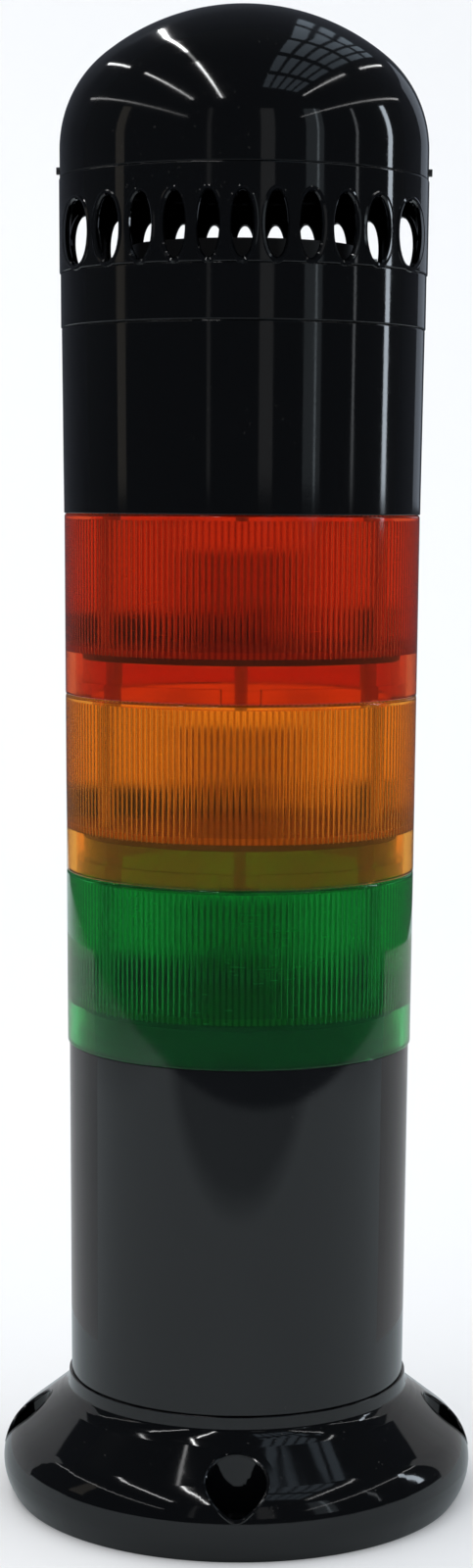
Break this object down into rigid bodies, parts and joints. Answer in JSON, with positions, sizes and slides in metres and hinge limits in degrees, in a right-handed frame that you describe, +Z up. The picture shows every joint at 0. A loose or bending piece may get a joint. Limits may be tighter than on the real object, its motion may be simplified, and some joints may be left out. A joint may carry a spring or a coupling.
{
  "type": "stack light",
  "caption": "Cylindrical signal tower with ribbed red, amber and green lens tiers, a black sounder head under a domed cap, and a tube on a bell-shaped screw-down foot.",
  "frame": {"origin": "centre of the foot's underside", "axes": "+Z up along the stack's axis, -Y towards the front, where the lens keys and one mounting pocket are"},
  "size_m": [0.14, 0.14, 0.422],
  "materials": {
    "gloss_black": "polished moulded black",
    "satin_black": "semi-gloss charcoal",
    "red_lens": "clear tinted, ribbed inside",
    "amber_lens": "clear tinted, ribbed inside",
    "green_lens": "clear tinted, ribbed inside",
    "board": "tan laminate board",
    "component_black": "moulded black",
    "lamp_white": "white lamp body with a pale lens",
    "seal_rubber": "black rubber",
    "zinc_steel": "zinc plated",
    "black_screw": "blackened steel",
    "terminal_grey": "moulded light grey",
    "magnet_iron": "plated magnet pot",
    "cone_paper": "dull black cone"
  },
  "bodies": {
    "root": {"base_flange": "gloss_black", "tube_screws": "zinc_steel", "base_tube": "satin_black", "terminal_block": "terminal_grey", "clamp_screws": "zinc_steel", "green_lens": "green_lens", "green_seal": "seal_rubber", "green_board": "board", "green_components": "component_black", "green_lamp_tower": "board", "green_lamps": "lamp_white", "amber_lens": "amber_lens", "amber_seal": "seal_rubber", "amber_board": "board", "amber_components": "component_black", "amber_lamp_tower": "board", "amber_lamps": "lamp_white", "red_lens": "red_lens", "red_seal": "seal_rubber", "red_board": "board", "red_components": "component_black", "red_lamp_tower": "board", "red_lamps": "lamp_white", "black_tier": "gloss_black", "driver_seal": "seal_rubber", "driver_board": "board", "driver_components": "component_black", "collar": "gloss_black", "sounder_plate": "component_black", "tie_rods": "zinc_steel", "rod_nuts": "zinc_steel", "sounder_can": "component_black", "sounder_cone": "cone_paper", "sounder_magnet": "magnet_iron", "sounder_screws": "zinc_steel", "sound_ring": "gloss_black", "dome_cap": "gloss_black", "cap_screws": "black_screw"}
  },
  "joints": []
}
